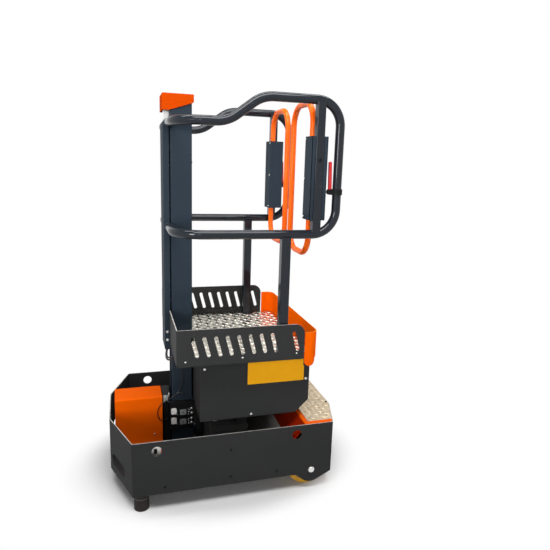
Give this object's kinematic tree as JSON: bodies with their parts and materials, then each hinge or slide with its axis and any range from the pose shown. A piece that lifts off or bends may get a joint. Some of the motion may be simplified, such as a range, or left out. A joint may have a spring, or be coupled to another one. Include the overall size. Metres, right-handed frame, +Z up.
{
  "type": "semi-electric order picker",
  "caption": "Push-around order picker: a low tray chassis with a telescopic mast that lifts a railed work platform with self-closing loop gates.",
  "frame": {"origin": "on the floor under the middle of the chassis", "axes": "+X to the rear where the gates are, +Z up, left side at -Y"},
  "size_m": [1.036, 0.78, 1.75],
  "materials": {
    "anthracite_sheet": "fine-textured anthracite powder coat",
    "mast_paint": "glossy blue-grey paint",
    "orange_sheet": "satin orange powder coat",
    "bare_aluminium": "rolled tread plate and drawn profile",
    "zinc_steel": "zinc-plated steel",
    "cast_hub": "dark cast hub",
    "yellow_tyre": "yellow polyurethane",
    "black_rubber": "black rubber",
    "black_plastic": "moulded black plastic",
    "grey_plastic": "moulded light grey plastic",
    "white_plastic": "moulded off-white plastic",
    "red_plastic": "moulded red plastic",
    "green_plastic": "moulded green plastic",
    "cable_sheath": "black cable sheath"
  },
  "bodies": {
    "base": {"chassis_tray": "anthracite_sheet", "stub_axles": "zinc_steel", "castor_mounts": "zinc_steel", "foot_guides": "zinc_steel", "mast_foot": "mast_paint", "mast_column": "mast_paint", "mast_guide_pads": "black_plastic", "lift_cylinder": "zinc_steel", "front_cover": "orange_sheet", "pump_motor": "black_plastic", "oil_tank": "black_plastic", "valve_block": "black_plastic", "valve_caps": "white_plastic", "mast_cable": "cable_sheath", "step_box": "orange_sheet", "step_tread": "bare_aluminium", "battery_left": "black_plastic", "battery_right": "black_plastic"},
    "platform": {"inner_mast": "bare_aluminium", "inner_guide_pads": "black_plastic", "piston_rod": "zinc_steel", "mast_cap": "orange_sheet", "carriage_column": "mast_paint", "floor_tray": "anthracite_sheet", "floor_tread": "bare_aluminium", "rear_guard": "orange_sheet", "box_frame": "anthracite_sheet", "gate_hinge_blocks": "black_plastic", "lever_clamps": "black_plastic", "control_box": "black_plastic", "control_cables": "cable_sheath", "box_panel_left": "anthracite_sheet", "box_panel_right": "anthracite_sheet", "guard_rail_left": "mast_paint", "guard_rail_right": "mast_paint", "rail_post_left": "mast_paint", "rail_post_right": "mast_paint", "gate_post_left": "mast_paint", "gate_post_right": "mast_paint", "gate_housing_left": "mast_paint", "gate_housing_right": "mast_paint", "kick_panel_left": "anthracite_sheet", "kick_panel_right": "anthracite_sheet"},
    "rear_wheel_left": {"rear_tyre_left": "yellow_tyre", "rear_hub_left": "cast_hub"},
    "castor_fork_left": {"castor_fork_left": "zinc_steel"},
    "castor_wheel_left": {"castor_wheel_left": "black_rubber"},
    "brake_foot_left": {"brake_foot_left": "black_rubber"},
    "gate_left": {"gate_left": "orange_sheet"},
    "release_lever_left": {"release_lever_left": "red_plastic"},
    "rear_wheel_right": {"rear_tyre_right": "yellow_tyre", "rear_hub_right": "cast_hub"},
    "castor_fork_right": {"castor_fork_right": "zinc_steel"},
    "castor_wheel_right": {"castor_wheel_right": "black_rubber"},
    "brake_foot_right": {"brake_foot_right": "black_rubber"},
    "gate_right": {"gate_right": "orange_sheet"},
    "release_lever_right": {"release_lever_right": "red_plastic"},
    "up_button": {"up_button": "green_plastic"},
    "down_button": {"down_button": "black_plastic"},
    "stop_button": {"stop_button": "red_plastic"}
  },
  "joints": [
    {"name": "platform_lift", "type": "slide", "parent": "base", "child": "platform", "axis": [0, 0, 1], "range_m": [0, 1]},
    {"name": "rear_wheel_spin_left", "type": "hinge", "parent": "base", "child": "rear_wheel_left", "pos_m": [0.367, -0.3125, 0.1], "axis": [0, 1, 0], "continuous": true},
    {"name": "castor_swivel_left", "type": "hinge", "parent": "base", "child": "castor_fork_left", "pos_m": [-0.38, -0.18, 0.09], "axis": [0, 0, 1], "continuous": true},
    {"name": "castor_spin_left", "type": "hinge", "parent": "castor_fork_left", "child": "castor_wheel_left", "pos_m": [-0.354, -0.18, 0.0375], "axis": [0, 1, 0], "continuous": true},
    {"name": "brake_foot_slide_left", "type": "slide", "parent": "base", "child": "brake_foot_left", "axis": [0, 0, 1], "range_m": [0, 0.015]},
    {"name": "gate_swing_left", "type": "hinge", "parent": "platform", "child": "gate_left", "pos_m": [0.332, -0.2985, 1.4], "axis": [0, 0, 1], "range_deg": [0, 90], "stiffness_Nm_per_rad": 3},
    {"name": "release_lever_squeeze_left", "type": "hinge", "parent": "platform", "child": "release_lever_left", "pos_m": [0.403, -0.342, 1.364], "axis": [0, 1, 0], "range_deg": [0, 4], "stiffness_Nm_per_rad": 3},
    {"name": "rear_wheel_spin_right", "type": "hinge", "parent": "base", "child": "rear_wheel_right", "pos_m": [0.367, 0.3125, 0.1], "axis": [0, 1, 0], "continuous": true},
    {"name": "castor_swivel_right", "type": "hinge", "parent": "base", "child": "castor_fork_right", "pos_m": [-0.38, 0.18, 0.09], "axis": [0, 0, 1], "continuous": true},
    {"name": "castor_spin_right", "type": "hinge", "parent": "castor_fork_right", "child": "castor_wheel_right", "pos_m": [-0.354, 0.18, 0.0375], "axis": [0, 1, 0], "continuous": true},
    {"name": "brake_foot_slide_right", "type": "slide", "parent": "base", "child": "brake_foot_right", "axis": [0, 0, 1], "range_m": [0, 0.015]},
    {"name": "gate_swing_right", "type": "hinge", "parent": "platform", "child": "gate_right", "pos_m": [0.332, 0.2985, 1.4], "axis": [0, 0, -1], "range_deg": [0, 90], "stiffness_Nm_per_rad": 3},
    {"name": "release_lever_squeeze_right", "type": "hinge", "parent": "platform", "child": "release_lever_right", "pos_m": [0.403, 0.342, 1.364], "axis": [0, 1, 0], "range_deg": [0, 4], "stiffness_Nm_per_rad": 3},
    {"name": "up_button_press", "type": "slide", "parent": "platform", "child": "up_button", "axis": [0, 1, 0], "range_m": [0, 0.004], "stiffness_N_per_m": 800},
    {"name": "down_button_press", "type": "slide", "parent": "platform", "child": "down_button", "axis": [0, 1, 0], "range_m": [0, 0.004], "stiffness_N_per_m": 800},
    {"name": "stop_button_press", "type": "slide", "parent": "platform", "child": "stop_button", "axis": [0, 1, 0], "range_m": [0, 0.004], "stiffness_N_per_m": 800}
  ]
}
